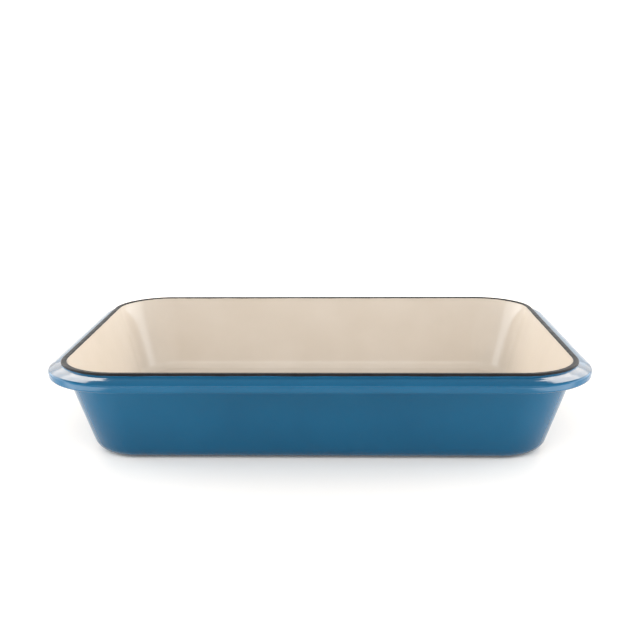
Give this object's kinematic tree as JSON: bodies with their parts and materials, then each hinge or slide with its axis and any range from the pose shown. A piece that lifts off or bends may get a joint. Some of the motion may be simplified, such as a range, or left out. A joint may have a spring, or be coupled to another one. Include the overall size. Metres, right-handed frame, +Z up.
{
  "type": "roasting dish",
  "caption": "Rectangular enamelled cast-iron baking and roasting dish with sloping walls, rounded corners and a carrying flange all round the mouth.",
  "frame": {"origin": "centre of the footprint, on the surface that the dish stands on", "axes": "+X along the length, +Y across the width towards the back, +Z up out of the mouth"},
  "size_m": [0.3552, 0.2536, 0.0633],
  "materials": {
    "iron": "matte",
    "blue_enamel": "gloss",
    "sand_enamel": "gloss",
    "black_enamel": "matte"
  },
  "bodies": {
    "root": {"casting": "iron", "exterior_enamel": "blue_enamel", "foot_enamel": "black_enamel", "interior_enamel": "sand_enamel", "rim_enamel": "black_enamel", "underside_enamel": "blue_enamel"}
  },
  "joints": []
}
